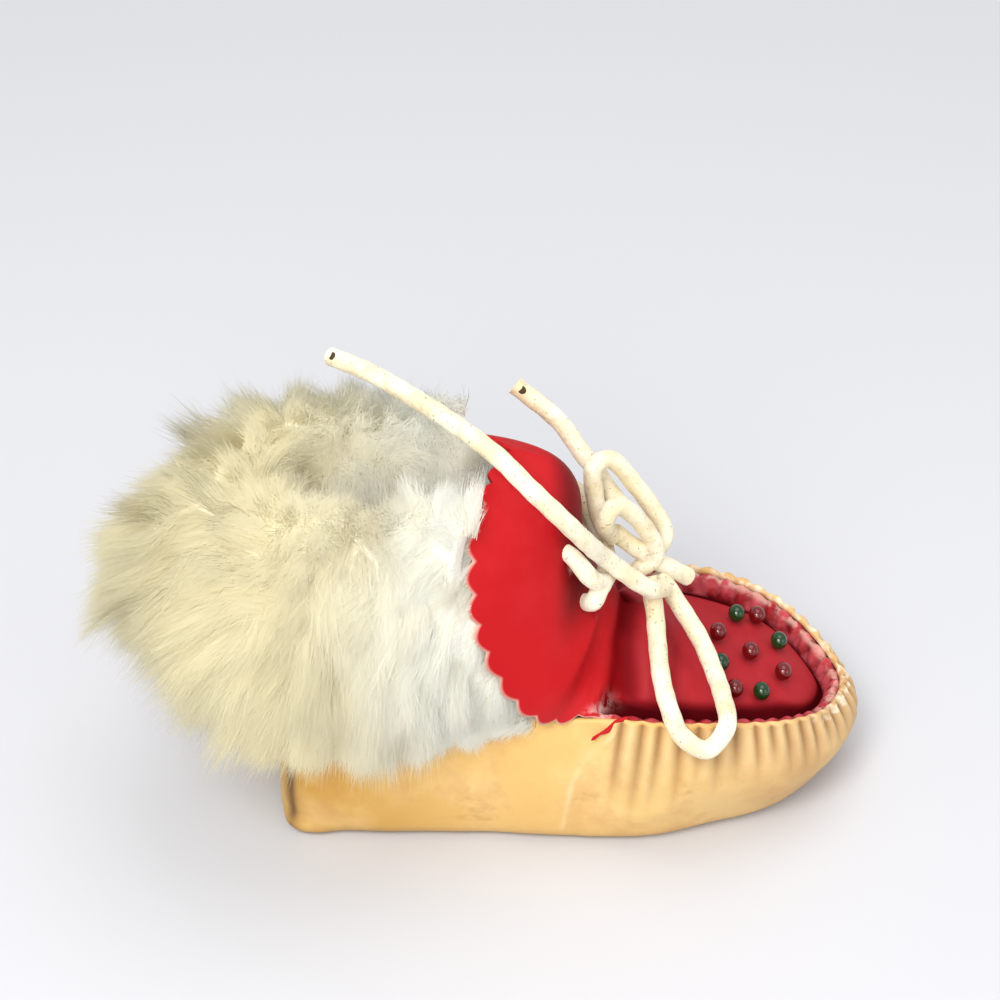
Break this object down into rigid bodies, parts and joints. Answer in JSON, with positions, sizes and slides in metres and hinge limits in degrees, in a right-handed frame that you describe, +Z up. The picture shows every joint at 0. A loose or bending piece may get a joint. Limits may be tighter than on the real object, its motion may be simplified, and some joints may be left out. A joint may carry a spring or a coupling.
{
  "type": "baby moccasin",
  "caption": "Ankle-high soft-soled baby moccasin: tan leather bottom gathered to a red vamp with scalloped wings, a fur cuff, a cord lace tied in a bow, and a bead rosette.",
  "frame": {"origin": "on the floor, on the flat of the sole, under the middle of the foot", "axes": "+X runs to the toe, +Y to the side away from the picture's view, +Z up"},
  "size_m": [0.151, 0.0835, 0.0946],
  "materials": {
    "tan_leather": "smooth golden tan leather, matte, lightly creased",
    "red_leather": "dyed red leather, matte on the wings, slightly polished on the toe",
    "rabbit_fur": "long soft cream fur on a pelt",
    "fleece": "short fleece",
    "cord": "round ivory cord, matte",
    "green_bead": "glossy dark green glass",
    "red_bead": "glossy dark red glass"
  },
  "bodies": {
    "root": {"moccasin_bottom": "tan_leather", "vamp": "red_leather", "fur_cuff": "rabbit_fur", "insole": "fleece", "lace_bars": "cord", "lace_knot": "cord", "lace_loop_low": "cord", "lace_loop_back": "cord", "lace_end_long": "cord", "lace_end_short": "cord", "bead_center": "red_bead", "bead_1": "green_bead", "bead_2": "red_bead", "bead_3": "green_bead", "bead_4": "red_bead", "bead_5": "green_bead", "bead_6": "red_bead", "bead_7": "green_bead", "bead_8": "red_bead"}
  },
  "joints": []
}
